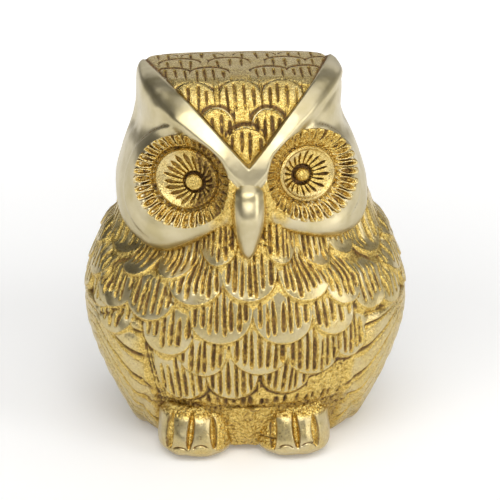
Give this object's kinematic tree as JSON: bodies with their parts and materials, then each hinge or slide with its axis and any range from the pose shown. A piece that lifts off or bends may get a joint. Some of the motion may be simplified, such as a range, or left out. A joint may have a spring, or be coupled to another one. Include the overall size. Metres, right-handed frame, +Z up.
{
  "type": "owl figurine",
  "caption": "Small hollow brass owl standing upright, with sunken ring eyes, a V brow, folded wings and three-toed feet.",
  "frame": {"origin": "on the ground, under the centre of the owl's bounding box", "axes": "+Z up; the owl faces -Y; +X is the owl's own left, which is on the right for someone who looks at its face"},
  "size_m": [0.0724, 0.0626, 0.083],
  "materials": {
    "brass": "cast and chased, satin, with dark wax left in the engraving",
    "polished_brass": "buffed smooth, pale and slightly dulled",
    "patinated_brass": "sunken, brown antique patina"
  },
  "bodies": {
    "root": {"body_shell": "brass", "head_shell": "polished_brass", "crown_panel": "brass", "beak": "polished_brass", "left_wing": "brass", "right_wing": "brass", "tail": "brass", "left_foot": "brass", "right_foot": "brass", "foot_web": "patinated_brass", "left_eye_ring": "brass", "right_eye_ring": "brass", "left_iris": "patinated_brass", "right_iris": "patinated_brass", "left_pupil": "polished_brass", "right_pupil": "polished_brass"}
  },
  "joints": []
}
